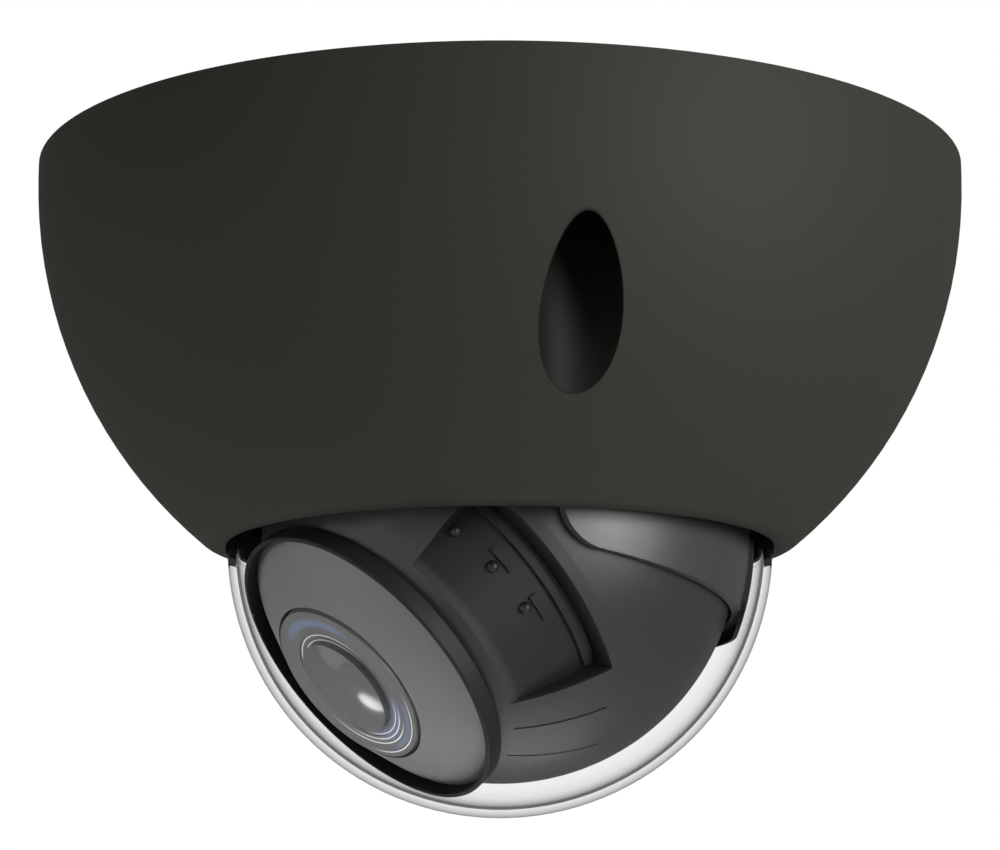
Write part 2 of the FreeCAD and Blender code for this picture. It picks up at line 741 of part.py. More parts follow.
def make_head_shell():
    half = val("recess_angle")
    skin = cut(ball("head_radius"), ball("head_radius - head_wall"))
    land = cut(common(along_x("40", "shell_front - shell_land", "shell_front"), ball("head_radius")),
               along_x("shell_bore", "0", "40"))
    fills = [land]
    recesses = []
    ribs = []
    grooves = []
    for middle in (0, 180):
        slab = wedge_x(middle, half + 3.5, "40", "recess_back - 1.5", "shell_front")
        fills.append(cut(common(slab, ball("head_radius")), floor_cone("-1.5"),
                         along_x("shell_bore", "0", "40")))
        recesses.append(recess_slice(middle, half, "recess_back", "shell_front + 0.9", "0"))
        curb = recess_slice(middle, half - 1, "recess_back + 0.8", "recess_back + 1.7", "-0.5")
        ribs.append(below_floor(curb, "0.6"))
        for turn, place in ((11.8, 15.1), (-5.4, 15.0)):
            side = turn if middle == 0 else 180 - turn
            bar = recess_slice(side, 4.1, "%s - 0.4" % place, "%s + 0.4" % place, "-0.5")
            ribs.append(below_floor(bar, "0.45"))
        for turn, start, end in ((-42, 13.1, 22.7), (-58, 13.5, 23.1)):
            side = turn if middle == 0 else 180 - turn
            groove = wedge_x(side, 0.35, "40", str(start), str(end))
            grooves.append(cut(groove, ball("head_radius - crease_depth")))
    posts = []
    for angle in frame_screw_angles:
        y, z = floor_place(angle, "frame_screw_circle")
        posts.append(along_x("2.2", "-26", "frame_front - frame_thick", y, z))
    posts = common(fuse(*posts), ball("head_radius - 0.5"))
    body = fuse(cut(fuse(skin, *fills), *recesses), posts, *ribs)
    cuts = [along_x("40", "shell_front", "50")]
    cuts.append(along_x("shell_bore", "shell_front - 6", "shell_front + 1"))
    cuts.append(along_y("pivot_radius + 1.2", "-40", "-24"))
    cuts.append(along_y("pivot_radius + 1.2", "24", "40"))
    for angle in frame_screw_angles:
        y, z = floor_place(angle, "frame_screw_circle")
        cuts.append(along_x("0.8", "frame_front - frame_thick - 6", "frame_front", y, z))
    for index in range(6):
        cuts.append(side_screw(index, "0.45", "-1.2"))
    keep("head_shell", cut(body, *cuts, *grooves), "head")


frame_screw_angles = [90, 225, 315]
side_screw_spots = [(27.3, 16.6), (12.2, 16.4), (-3.3, 16.3)]


def side_screw(index, radius, low):
    """Short pin sunk into the recess floor."""
    angle, place = side_screw_spots[index % 3]
    if index > 2:
        angle = 180 - angle
    pin = doc.addObject("Part::Cylinder", "pin")
    turn = FreeCAD.Rotation(FreeCAD.Vector(1, 0, 0), angle - 90)
    pin.Placement = FreeCAD.Placement(FreeCAD.Vector(), turn)
    bind(pin, Radius=radius, Height="0.15 - (%s)" % low)
    y, z = floor_place(angle, "%s + (%s)" % (on_floor(place), low))
    return at(pin, str(place), y, z)


def make_side_screws():
    parts = []
    for index in range(6):
        angle, place = side_screw_spots[index % 3]
        if index > 2:
            angle = 180 - angle
        y, z = floor_place(angle, on_floor(place))
        dome_head = ball("0.8", str(place), y, z)
        head = cut(dome_head, floor_cone("0"))
        parts.append(fuse(head, side_screw(index, "0.42", "-1.1")))
    keep("side_screws", group(*parts), "head")


def ring_outer_edge(edge):
    box = edge.BoundBox
    return box.XLength < 0.01 and abs(box.YLength - 2 * val("ring_radius")) < 0.05


def make_front_ring():
    hoop_blank = along_x("ring_radius", "shell_front + 0.05", "ring_front")
    doc.recompute()
    rounded = round_edge(hoop_blank, ring_outer_edge, "ring_round")
    keep("front_ring", cut(rounded, along_x("ring_bore", "0", "40")), "head")


def make_face_plate():
    edge = "ring_bore - 0.05"
    outside = cone_x(edge, "face_hole", "face_edge", "face_front")
    rim = along_x(edge, "shell_front + 0.05", "face_edge")
    inside = cone_x("ring_bore - face_land", "face_hole - 0.9", "shell_front", "face_front - face_thick")
    hole = along_x("face_hole", "20", "40")
    keep("face_plate", cut(fuse(outside, rim), inside, hole), "head")


def make_lens_barrel():
    tube = ring_x("barrel_radius", "barrel_bore", "barrel_back", "face_front - 1.6")
    flange = ring_x("barrel_radius + 3.3", "barrel_radius - 0.4", "frame_front", "frame_front + 1.2")
    foot = ring_x("barrel_radius + 1.6", "barrel_bore", "barrel_back", "barrel_back + 1.4")
    holes = []
    for angle in barrel_screw_angles:
        y, z = floor_place(angle, "barrel_radius + 1.8")
        holes.append(along_x("0.8", "0", "20", y, z))
    for side in (-1, 1):
        holes.append(along_x("0.65", "barrel_back - 1", "barrel_back + 1.3", "%d * 7.6" % side, "-6.6"))
    keep("lens_barrel", cut(fuse(tube, flange, foot), *holes), "head")


barrel_screw_angles = [30, 150, 270]


def make_lens_front():
    bezel = cut(cone_x("face_hole - 0.05", "face_hole - 0.5", "face_front - 1.5", "face_front + 0.3"),
                along_x("barrel_bore - 0.2", "20", "40"))
    keep("lens_bezel", bezel, "head")
    hold = ring_x("barrel_bore - 0.2", "barrel_bore - 1.1", "face_front - 3.6", "face_front + 0.0")
    lip = ring_x("barrel_bore - 0.2", "barrel_bore - 1.4", "face_front - 0.4", "face_front + 0.2")
    keep("lens_ring", fuse(hold, lip), "head")
    glass = common(along_x("barrel_bore - 1.45", "face_front - 3.5", "lens_front + 1"),
                   ball("21", "lens_front - 21"))
    keep("front_lens", cut(glass, ball("14", "face_front - 3.5 - 12")), "head")
    inner = ring_x("barrel_bore - 0.05", "barrel_bore - 3.1", "face_front - 6.2", "face_front - 3.7")
    keep("iris_ring", inner, "head")
    second = common(along_x("barrel_bore - 3.15", "face_front - 6.4", "face_front - 3.2"),
                    ball("9", "face_front - 3.4 - 9"))
    keep("second_lens", second, "head")


def make_guide_rods():
    parts = []
    for side in (-1, 1):
        parts.append(along_x("0.5", "barrel_back + 0.4", "face_front - 6.3", "%d * (barrel_bore - 1.1)" % side))
    keep("guide_rods", group(*parts), "head")


def make_cell(label, rest, lens_radius, curve):
    """Sliding lens holder on the guide rods, with its lens."""
    start = "%s - cell_length / 2" % rest
    end = "%s + cell_length / 2" % rest
    holder = ring_x("barrel_bore - 0.35", lens_radius, start, end)
    holes = []
    for side in (-1, 1):
        holes.append(along_x("0.55", "0", "28", "%d * (barrel_bore - 1.1)" % side))
    keep(label + "_cell", cut(holder, *holes), "head")
    lens = common(along_x(lens_radius, "%s - 1.6" % rest, "%s + 1.6" % rest),
                  ball(curve, "%s + 1.6 - (%s)" % (rest, curve)),
                  ball(curve, "%s - 1.6 + (%s)" % (rest, curve)))
    keep(label + "_lens", lens, "head")


def make_sensor():
    back = "barrel_back - 2.4"
    board = doc.addObject("Part::Box", "box")
    bind(board, Length="1.2", Width="19", Height="16")
    at(board, back, "-9.5", "-8")
    chip = doc.addObject("Part::Box", "box")
    bind(chip, Length="1.0", Width="8.4", Height="6.6")
    at(chip, "%s + 1.2" % back, "-4.2", "-3.3")
    keep("image_sensor", chip, "head")
    holes = []
    screws = []
    for side in (-1, 1):
        y = "%d * 7.6" % side
        holes.append(along_x("0.7", "%s - 1" % back, "%s + 3" % back, y, "-6.6"))
        head = along_x("1.3", "%s - 0.9" % back, back, y, "-6.6")
        stem = along_x("0.6", "%s - 0.1" % back, "barrel_back + 1.2", y, "-6.6")
        screws.append(fuse(head, stem))
    keep("sensor_board", cut(board, *holes), "head")
    keep("sensor_screws", group(*screws), "head")


def make_head_frame():
    low = "frame_front - frame_thick"
    plate = along_x("frame_radius", low, "frame_front")
    arm = doc.addObject("Part::Box", "box")
    bind(arm, Length="frame_front + 22.5", Width="1.4", Height="11")
    at(arm, "-22.5", "-(tilt_gear_side - 0.6)", "-5.5")
    solids = [plate, arm]
    cuts = [along_x("barrel_radius + 0.15", "%s - 1" % low, "frame_front + 1")]
    for angle in frame_screw_angles:
        y, z = floor_place(angle, "frame_screw_circle")
        cuts.append(along_x("1.1", "%s - 1" % low, "frame_front + 1", y, z))
    for angle in barrel_screw_angles:
        y, z = floor_place(angle, "barrel_radius + 1.8")
        cuts.append(along_x("0.7", "%s - 1" % low, "frame_front + 1", y, z))
    cuts.append(along_y("2.1", "-25", "-10", "-" + tilt_centre))
    keep("head_frame", cut(fuse(*solids), *cuts), "head")


def make_frame_screws():
    parts = []
    for angle in frame_screw_angles:
        y, z = floor_place(angle, "frame_screw_circle")
        parts.append(fuse(along_x("1.7", "frame_front", "frame_front + 1.1", y, z),
                          along_x("0.75", "frame_front - 6", "frame_front + 0.2", y, z)))
    for angle in barrel_screw_angles:
        y, z = floor_place(angle, "barrel_radius + 1.8")
        parts.append(fuse(along_x("1.3", "frame_front + 1.2", "frame_front + 2.1", y, z),
                          along_x("0.65", "frame_front - frame_thick", "frame_front + 1.4", y, z)))
    keep("frame_screws", group(*parts), "head")


def make_tilt_motor():
    x = "-" + tilt_centre
    side = "(tilt_gear_side - 2)"
    can = along_y("tilt_motor_radius", "-%s" % side, "-%s + 10.5" % side, x)
    boss = along_y("2", "-%s - 1" % side, "-%s + 0.5" % side, x)
    shaft = along_y("0.6", "-(tilt_gear_side + tilt_gear_thick)", "-%s + 0.5" % side, x)
    keep("tilt_motor", fuse(can, boss, shaft), "head")


def make_tilt_pinion():
    teeth = val("tilt_pinion_teeth")
    phase = math.radians(180.0 / teeth)
    wheel = gear(val("tilt_module"), teeth, phase, 0.05, "tilt_gear_thick", "tilt_pinion")
    bore = doc.addObject("Part::Cylinder", "bore")
    bind(bore, Radius="0.62", Height="tilt_gear_thick + 2")
    at(bore, "0", "0", "-1")
    holder = group(cut(wheel, bore))
    holder.Label = "tilt_pinion"
    lay = FreeCAD.Rotation(FreeCAD.Vector(1, 0, 0), -90)
    centre = val("tilt_module") * (val("tilt_gear_teeth") + val("tilt_pinion_teeth")) / 2 + 0.05
    spot = FreeCAD.Vector(-centre, -val("tilt_gear_side") - val("tilt_gear_thick"), 0)
    head = body_at["head"]
    holder.Placement = FreeCAD.Placement(head.multVec(spot), head.Rotation.multiply(lay))
    nodes.append(holder)


def make_pivot_bushes():
    parts = []
    for start, end in (("head_radius - 3.6", "head_radius - 0.15"), ("-head_radius + 0.15", "-head_radius + 3.6")):
        sleeve = along_y("pivot_radius + 1.2", start, end)
        if start.startswith("-"):
            collar = along_y("pivot_radius + 2.2", "-head_radius + 2.2", end)
        else:
            collar = along_y("pivot_radius + 2.2", start, "head_radius - 2.2")
        parts.append(cut(fuse(sleeve, collar), along_y("pivot_radius + 0.04", "-40", "40")))
    keep("pivot_bushes", group(*parts), "head")


def make_lens_motor():
    can = along_x("2.6", "8", "15.5", "0", "-13.4")
    shaft = along_x("0.6", "15", "24", "0", "-13.4")
    bracket = doc.addObject("Part::Box", "box")
    bind(bracket, Length="1", Width="6", Height="6.4")
    at(bracket, "7", "-3", "-16.4")
    keep("lens_motor", fuse(can, shaft, bracket), "head")


# cover body -------------------------------------------------------------

def bowl_solid(shrink, top, bottom):
    """Solid bowl: straight at the top and spherical below, made smaller by the wall."""
    radius = "(%s - (%s))" % (bowl, shrink)
    upper = disc(radius, top, "bowl_centre_depth")
    lower = common(ball(radius, "0", "0", "-bowl_centre_depth"),
                   disc(radius, "bowl_centre_depth - 0.5", bottom))
    return fuse(upper, lower)


def lip_edge(edge):
    box = edge.BoundBox
    return abs(box.ZMax + val("cover_bottom")) < 0.01 and abs(box.ZMin + val("cover_bottom")) < 0.01


def make_cover():
    outside = bowl_solid("0", "cover_top", "cover_bottom")
    doc.recompute()
    outside = round_edge(outside, lip_edge, "lip_round")
    inside = bowl_solid("cover_wall", "cover_top - 1", "cover_bottom - lip_thick")
    shell = cut(outside, inside)
    tubes = []
    cuts = []
    for angle in pocket_angles:
        x, y = polar("pocket_circle", angle)
        tubes.append(disc("pocket_radius + pocket_wall", "pocket_top", "cover_bottom", x, y))
        cuts.append(disc("pocket_radius", "pocket_top + pocket_floor", "cover_bottom + 5", x, y))
        cuts.append(disc("1.7", "pocket_top - 1", "pocket_top + pocket_floor + 1", x, y))
    for angle in clamp_angles:
        x, y = polar("clamp_screw_circle", angle)
        tubes.append(disc("2.3", clamp_low, "cover_bottom", x, y))
        cuts.append(disc("2.3", clamp_low + " - 3", clamp_low, x, y))
    solid_out = bowl_solid("0.8", "cover_top", "cover_bottom - 0.8")
    body = fuse(shell, common(fuse(*tubes), solid_out))
    cuts.append(disc("opening_radius", clamp_low, "cover_bottom + 1"))
    cuts.append(disc("opening_radius", "cover_top", "cover_bottom + 1"))
    cuts.append(ring("dome_flange_radius + 0.3", "opening_radius - 1", clamp_low, "cover_bottom - lip_thick"))
    for angle in clamp_angles:
        x, y = polar("clamp_screw_circle", angle)
        cuts.append(disc("0.8", clamp_low + " - 1", clamp_low + " + 3.2", x, y))
    whole = cut(body, *cuts)
    doc.recompute()
    keep("cover", whole, "base")


clamp_low = "(cover_bottom - lip_thick - dome_seal_thick - dome_flange_thick)"
clamp_angles = [val("pocket_angle") + 60 + 90 * i + 22 for i in range(4)]


def make_dome():
    sphere = cut(ball("dome_radius", "0", "0", "-ball_depth"), ball("dome_radius - dome_wall", "0", "0", "-ball_depth"))
    lower = common(sphere, disc("60", "ball_depth", "ball_depth + 60"))
    upper = ring("dome_radius", "dome_radius - dome_wall", clamp_low, "ball_depth")
    flange = ring("dome_flange_radius", "dome_radius - dome_wall", clamp_low, clamp_low + " + dome_flange_thick")
    bead = hoop("dome_radius - 0.2", "dome_bead", "-(cover_bottom + dome_bead)")
    keep("dome", fuse(lower, upper, flange, bead))


def make_dome_seal():
    top = "(cover_bottom - lip_thick - dome_seal_thick)"
    keep("dome_seal", ring("dome_flange_radius", "dome_radius + 0.1", top, "cover_bottom - lip_thick"))


def make_dome_clamp():
    top = "(%s - clamp_thick)" % clamp_low
    body = ring("clamp_screw_circle - 1.2", "dome_radius - dome_wall + 0.2", top, clamp_low)
    ears = []
    holes = []
    for angle in clamp_angles:
        x, y = polar("clamp_screw_circle", angle)
        ears.append(disc("2.1", top, clamp_low, x, y))
        holes.append(disc("0.9", top + " - 1", clamp_low + " + 1", x, y))
    keep("dome_clamp", cut(fuse(body, *ears), *holes))


def make_clamp_screws():
    parts = []
    for angle in clamp_angles:
        x, y = polar("clamp_screw_circle", angle)
        top = "(%s - clamp_thick)" % clamp_low
        head = disc("1.5", top + " - 1", top, x, y)
        stem = disc("0.75", top + " - 0.2", clamp_low + " + 2.6", x, y)
        slot = block("2", "0.4", "0.6", x, y, "-(%s - 0.6)" % top)
        parts.append(cut(fuse(head, stem), slot))
    keep("clamp_screws", group(*parts))


def make_cover_screws():
    parts = []
    seals = []
    for angle in pocket_angles:
        x, y = polar("pocket_circle", angle)
        seat = "(pocket_top + pocket_floor)"
        parts.append(screw(x, y, seat + " + 0.6", "pocket_floor + 6.5", "1.5", "2.9", "2.6"))
        seal = cut(disc("2.7", seat, seat + " + 0.6", x, y), disc("1.5", seat + " - 1", seat + " + 2", x, y))
        seals.append(seal)
    keep("cover_screws", group(*parts))
    keep("screw_seals", group(*seals))


make_seal_pad()
make_base_plate()
make_base_seal()
make_cable_grommet()
make_main_board()
make_board_screws()
make_board_parts()
make_chassis_frame()
make_chassis_screws()
make_bearing()
make_pan_motor()
make_pan_motor_screws()
make_pan_pinion()
make_turret_shroud()
make_rear_shield()
make_pan_gear()
make_turret_screws()
make_pivot_pins()
make_tilt_fixed_gear()
make_head_shell()
make_side_screws()
make_front_ring()
make_face_plate()
make_lens_barrel()
make_lens_front()
make_guide_rods()
make_cell("zoom", "zoom_rest", "(barrel_bore - 2.3)", "16")
make_cell("focus", "focus_rest", "(barrel_bore - 3.1)", "14")
make_sensor()
make_head_frame()
make_frame_screws()
make_tilt_motor()
make_tilt_pinion()
make_pivot_bushes()
make_lens_motor()
make_cover()
make_dome()
make_dome_seal()
make_dome_clamp()
make_clamp_screws()
make_cover_screws()
doc.recompute()

for obj in doc.Objects:
    if "Invalid" in obj.State or "Error" in obj.State:
        raise RuntimeError("feature %s is %s" % (obj.Name, obj.State))
os.makedirs("parts", exist_ok=True)
for node in nodes:
    shape = node.Shape
    if shape.isNull() or not shape.isValid() or not shape.Solids:
        raise RuntimeError("sub-part %s is not a valid solid" % node.Label)
for node in nodes:
    node.Shape.exportStep("parts/%s.step" % node.Label)
    print(node.Label, len(node.Shape.Solids), round(node.Shape.Volume, 1))
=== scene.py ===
import bpy
import math
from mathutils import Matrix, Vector


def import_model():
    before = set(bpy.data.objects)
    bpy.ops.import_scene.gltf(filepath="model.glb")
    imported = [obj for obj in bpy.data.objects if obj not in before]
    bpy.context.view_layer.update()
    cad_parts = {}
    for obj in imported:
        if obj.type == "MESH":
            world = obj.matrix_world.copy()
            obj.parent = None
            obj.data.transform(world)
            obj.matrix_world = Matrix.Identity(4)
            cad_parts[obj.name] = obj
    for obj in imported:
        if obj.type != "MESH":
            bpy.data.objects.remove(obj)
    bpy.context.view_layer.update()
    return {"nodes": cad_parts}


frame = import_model()
nodes = frame["nodes"]


# shader groups shared by several finishes ---------------------------------

def socket(group, name, kind, way="INPUT", value=None):
    item = group.interface.new_socket(name=name, in_out=way, socket_type=kind)
    if value is not None:
        item.default_value = value
    return item


def moulded_grain_group():
    """Fine pebbled height of a moulded or powder-coated skin."""
    group = bpy.data.node_groups.new("moulded_grain", "ShaderNodeTree")
    socket(group, "Grains per metre", "NodeSocketFloat", value=2500.0)
    socket(group, "Ripple", "NodeSocketFloat", value=0.3)
    socket(group, "Height", "NodeSocketFloat", "OUTPUT")
    tree = group.nodes
    link = group.links.new
    enter = tree.new("NodeGroupInput")
    leave = tree.new("NodeGroupOutput")
    place = tree.new("ShaderNodeTexCoord")
    fine = tree.new("ShaderNodeTexNoise")
    fine.inputs["Detail"].default_value = 3.0
    coarse_scale = tree.new("ShaderNodeMath")
    coarse_scale.operation = "MULTIPLY"
    coarse_scale.inputs[1].default_value = 0.06
    coarse = tree.new("ShaderNodeTexNoise")
    coarse.inputs["Detail"].default_value = 1.0
    rippled = tree.new("ShaderNodeMath")
    rippled.operation = "MULTIPLY_ADD"
    link(place.outputs["Object"], fine.inputs["Vector"])
    link(place.outputs["Object"], coarse.inputs["Vector"])
    link(enter.outputs["Grains per metre"], fine.inputs["Scale"])
    link(enter.outputs["Grains per metre"], coarse_scale.inputs[0])
    link(coarse_scale.outputs[0], coarse.inputs["Scale"])
    link(coarse.outputs["Fac"], rippled.inputs[0])
    link(enter.outputs["Ripple"], rippled.inputs[1])
    link(fine.outputs["Fac"], rippled.inputs[2])
    link(rippled.outputs[0], leave.inputs["Height"])
    return group


def tone_group():
    """Slight unevenness of colour and polish over a surface."""
    group = bpy.data.node_groups.new("uneven_tone", "ShaderNodeTree")
    socket(group, "Colour", "NodeSocketColor", value=(0.1, 0.1, 0.1, 1))
    socket(group, "Unevenness", "NodeSocketFloat", value=0.06)
    socket(group, "Polish", "NodeSocketFloat", value=0.4)
    socket(group, "Patches per metre", "NodeSocketFloat", value=40.0)
    socket(group, "Colour", "NodeSocketColor", "OUTPUT")
    socket(group, "Roughness", "NodeSocketFloat", "OUTPUT")
    tree = group.nodes
    link = group.links.new
    enter = tree.new("NodeGroupInput")
    leave = tree.new("NodeGroupOutput")
    place = tree.new("ShaderNodeTexCoord")
    patches = tree.new("ShaderNodeTexNoise")
    patches.inputs["Detail"].default_value = 4.0
    centred = tree.new("ShaderNodeMath")
    centred.operation = "SUBTRACT"
    centred.inputs[1].default_value = 0.5
    swing = tree.new("ShaderNodeMath")
    swing.operation = "MULTIPLY_ADD"
    swing.inputs[2].default_value = 1.0
    shade = tree.new("ShaderNodeVectorMath")
    shade.operation = "SCALE"
    rough = tree.new("ShaderNodeMath")
    rough.operation = "MULTIPLY"
    link(place.outputs["Object"], patches.inputs["Vector"])
    link(enter.outputs["Patches per metre"], patches.inputs["Scale"])
    link(patches.outputs["Fac"], centred.inputs[0])
    link(centred.outputs[0], swing.inputs[0])
    link(enter.outputs["Unevenness"], swing.inputs[1])
    link(enter.outputs["Colour"], shade.inputs[0])
    link(swing.outputs[0], shade.inputs["Scale"])
    link(swing.outputs[0], rough.inputs[0])
    link(enter.outputs["Polish"], rough.inputs[1])
    link(shade.outputs["Vector"], leave.inputs["Colour"])
    link(rough.outputs[0], leave.inputs["Roughness"])
    return group


# the lens head at rest: turn about the pan axis, dip of the lens, and ball centre in metres
REST_PAN = math.radians(212)
REST_TILT = math.radians(41)
BALL_CENTRE = (0, 0, -0.0493)
LENS_WAY = (math.cos(REST_PAN) * math.cos(REST_TILT), math.sin(REST_PAN) * math.cos(REST_TILT),
            -math.sin(REST_TILT))
TILT_WAY = (-math.sin(REST_PAN), math.cos(REST_PAN), 0)
HEAD_UP = tuple(Vector(LENS_WAY).cross(Vector(TILT_WAY)))


class Wires:
    """Short way to lay value nodes in a tree."""

    def __init__(self, tree):
        self.nodes = tree.nodes
        self.link = tree.links.new

    def feed(self, node, index, source):
        if isinstance(source, (int, float)):
            node.inputs[index].default_value = source
        else:
            self.link(source, node.inputs[index])

    def sum(self, kind, *sources):
        node = self.nodes.new("ShaderNodeMath")
        node.operation = kind
        for index, source in enumerate(sources):
            self.feed(node, index, source)
        return node.outputs[0]

    def vector(self, kind, first, second, out="Vector"):
        node = self.nodes.new("ShaderNodeVectorMath")
        node.operation = kind
        self.link(first, node.inputs[0])
        if kind == "SCALE":
            node.inputs["Scale"].default_value = second
        elif second is not None:
            node.inputs[1].default_value = second
        return node.outputs[out]

    def fade(self, source, start, end, low=0.0, high=1.0):
        node = self.nodes.new("ShaderNodeMapRange")
        node.interpolation_type = "SMOOTHSTEP"
        self.feed(node, "Value", source)
        for name, value in (("From Min", start), ("From Max", end), ("To Min", low), ("To Max", high)):
            node.inputs[name].default_value = value
        return node.outputs[0]

    def band(self, source, centre, half, soft):
        away = self.sum("ABSOLUTE", self.sum("SUBTRACT", source, centre))
        return self.fade(away, half, half + soft, 1.0, 0.0)


def head_place_group():
    """Where a point of the lens head sits, in millimetres from the ball centre."""
    group = bpy.data.node_groups.new("head_place", "ShaderNodeTree")
    for name in ("Along", "Out", "Reach", "Angle"):
        socket(group, name, "NodeSocketFloat", "OUTPUT")
    w = Wires(group)
    leave = group.nodes.new("NodeGroupOutput")
    place = group.nodes.new("ShaderNodeTexCoord")
    moved = w.vector("SUBTRACT", place.outputs["Object"], BALL_CENTRE)
    scaled = w.vector("SCALE", moved, 1000.0)
    along = w.vector("DOT_PRODUCT", scaled, LENS_WAY, "Value")
    side = w.vector("DOT_PRODUCT", scaled, TILT_WAY, "Value")
    up = w.vector("DOT_PRODUCT", scaled, HEAD_UP, "Value")
    out = w.sum("SQRT", w.sum("ADD", w.sum("MULTIPLY", side, side), w.sum("MULTIPLY", up, up)))
    w.link(along, leave.inputs["Along"])
    w.link(out, leave.inputs["Out"])
    w.link(w.vector("LENGTH", scaled, None, "Value"), leave.inputs["Reach"])
    w.link(w.sum("ARCTAN2", up, side), leave.inputs["Angle"])
    return group


# painted highlights on turned ring edges, then painted coating reflections, around the front lens:
# radius, half width and soft edge in millimetres, then middle turn and spread in degrees
RING_GLINT_ARCS = ((7.0, 0.05, 0.05, 92, 75), (7.75, 0.04, 0.05, 95, 80), (8.6, 0.05, 0.06, -82, 55),
                (9.3, 0.06, 0.06, -100, 60), (10.7, 0.05, 0.06, -65, 55), (7.9, 0.04, 0.05, -70, 50))
COATING_REFLECTION_ARCS = ((9.7, 0.25, 0.6, 84, 50), (8.2, 0.5, 0.5, -60, 45), (10.0, 0.15, 0.4, -55, 35))


def lens_glints_group():
    """Painted white highlights on thin turned ring edges and painted blue reflections of the lens
    coating around the front lens.
    """
    group = bpy.data.node_groups.new("lens_glints", "ShaderNodeTree")
    socket(group, "Rings", "NodeSocketFloat", "OUTPUT")
    socket(group, "Coating reflections", "NodeSocketFloat", "OUTPUT")
    w = Wires(group)
    leave = group.nodes.new("NodeGroupOutput")
    place = group.nodes.new("ShaderNodeGroup")
    place.node_tree = head_place

    def arc(radius, half, soft, middle, spread):
        turned = w.sum("COSINE", w.sum("SUBTRACT", place.outputs["Angle"], math.radians(middle)))
        near = w.fade(turned, math.cos(math.radians(spread)), math.cos(math.radians(spread * 0.5)))
        return w.sum("MULTIPLY", w.band(place.outputs["Out"], radius, half, soft), near)

    def all_of(parts):
        total = parts[0]
        for part in parts[1:]:
            total = w.sum("MAXIMUM", total, part)
        return total

    rings = [arc(*ring) for ring in RING_GLINT_ARCS]
    coating_glints = [arc(*coating_arc) for coating_arc in COATING_REFLECTION_ARCS]
    w.link(all_of(rings), leave.inputs["Rings"])
    w.link(all_of(coating_glints), leave.inputs["Coating reflections"])
    return group


# screw pockets: turns in degrees, then distance from the middle and radius in millimetres
POCKET_TURNS = (280, 40, 160)
POCKET_REACH = 53.65
POCKET_RADIUS = 5.0
POCKET_BLEND = 0.14


def pocket_shade_group():
    """One inside the three screw pockets of the cover, zero on its outer skin; it marks where painted
    shade darkens the paint.
    """
    group = bpy.data.node_groups.new("pocket_shade_mask", "ShaderNodeTree")
    socket(group, "Inside", "NodeSocketFloat", "OUTPUT")
    w = Wires(group)
    leave = group.nodes.new("NodeGroupOutput")
    place = group.nodes.new("ShaderNodeTexCoord")
    flat = group.nodes.new("ShaderNodeVectorMath")
    flat.operation = "MULTIPLY"
    flat.inputs[1].default_value = (1000, 1000, 0)
    w.link(place.outputs["Object"], flat.inputs[0])
    total = None
    for turn in map(math.radians, POCKET_TURNS):
        middle = (POCKET_REACH * math.cos(turn), POCKET_REACH * math.sin(turn), 0)
        away = w.vector("LENGTH", w.vector("SUBTRACT", flat.outputs[0], middle), None, "Value")
        inside = w.fade(away, POCKET_RADIUS - POCKET_BLEND, POCKET_RADIUS, 1.0, 0.0)
        total = inside if total is None else w.sum("MAXIMUM", total, inside)
    w.link(total, leave.inputs["Inside"])
    return group


grain = moulded_grain_group()
tone = tone_group()
head_place = head_place_group()
lens_glints = lens_glints_group()
pocket_shade_mask = pocket_shade_group()


def blend_into(made, mask_group, output, start, end, colour):
    """Blend the base colour of a finish towards another where a mask rises."""
    tree = made.node_tree.nodes
    link = made.node_tree.links.new
    surface = tree["Principled BSDF"]
    mask = tree.new("ShaderNodeGroup")
    mask.node_tree = mask_group
    rise = tree.new("ShaderNodeMapRange")
    rise.inputs["From Min"].default_value = start
    rise.inputs["From Max"].default_value = end
    mix = tree.new("ShaderNodeMix")
    mix.data_type = "RGBA"
    before = surface.inputs["Base Color"].links[0].from_socket
    link(mask.outputs[output], rise.inputs["Value"])
    link(rise.outputs[0], mix.inputs["Factor"])
    link(before, mix.inputs["A"])
    mix.inputs["B"].default_value = (*colour, 1)
    link(mix.outputs["Result"], surface.inputs["Base Color"])


def finish_of(name, colour, polish, unevenness=0.06, patches=40.0, grains=2500.0, ripple=0.3,
              bump=0.04, **shader):
    """A finish: uneven colour and polish, a grain bump, and plain values on the shader."""
    made = bpy.data.materials.new(name)
    made.use_nodes = True
    tree = made.node_tree.nodes
    link = made.node_tree.links.new
    surface = tree["Principled BSDF"]
    skin = tree.new("ShaderNodeGroup")
    skin.node_tree = tone
    skin.inputs["Colour"].default_value = (*colour, 1)
    skin.inputs["Unevenness"].default_value = unevenness
    skin.inputs["Polish"].default_value = polish
    skin.inputs["Patches per metre"].default_value = patches
    link(skin.outputs["Colour"], surface.inputs["Base Color"])
    link(skin.outputs["Roughness"], surface.inputs["Roughness"])
    if bump:
        pebbles = tree.new("ShaderNodeGroup")
        pebbles.node_tree = grain
        pebbles.inputs["Grains per metre"].default_value = grains
        pebbles.inputs["Ripple"].default_value = ripple
        raised = tree.new("ShaderNodeBump")
        raised.inputs["Strength"].default_value = bump
        raised.inputs["Distance"].default_value = 0.0001
        link(pebbles.outputs["Height"], raised.inputs["Height"])
        link(raised.outputs["Normal"], surface.inputs["Normal"])
    for key, value in shader.items():
        surface.inputs[key.replace("_", " ")].default_value = value
    return made


def clear_of(name, colour, ior):
    """Clear moulded or ground glass."""
    made = bpy.data.materials.new(name)
    made.use_nodes = True
    surface = made.node_tree.nodes["Principled BSDF"]
    surface.inputs["Base Color"].default_value = (*colour, 1)
    surface.inputs["Roughness"].default_value = 0.0
    surface.inputs["IOR"].default_value = ior
    surface.inputs["Transmission Weight"].default_value = 1.0
    return made


# how clear the dome wall is, from seen square on (0) to seen edge on (1)
DOME_EDGE = ((0.0, 0.98), (0.54, 0.94), (0.64, 0.90), (0.74, 0.82), (0.85, 0.50), (0.95, 0.22),
             (1.0, 0.06))


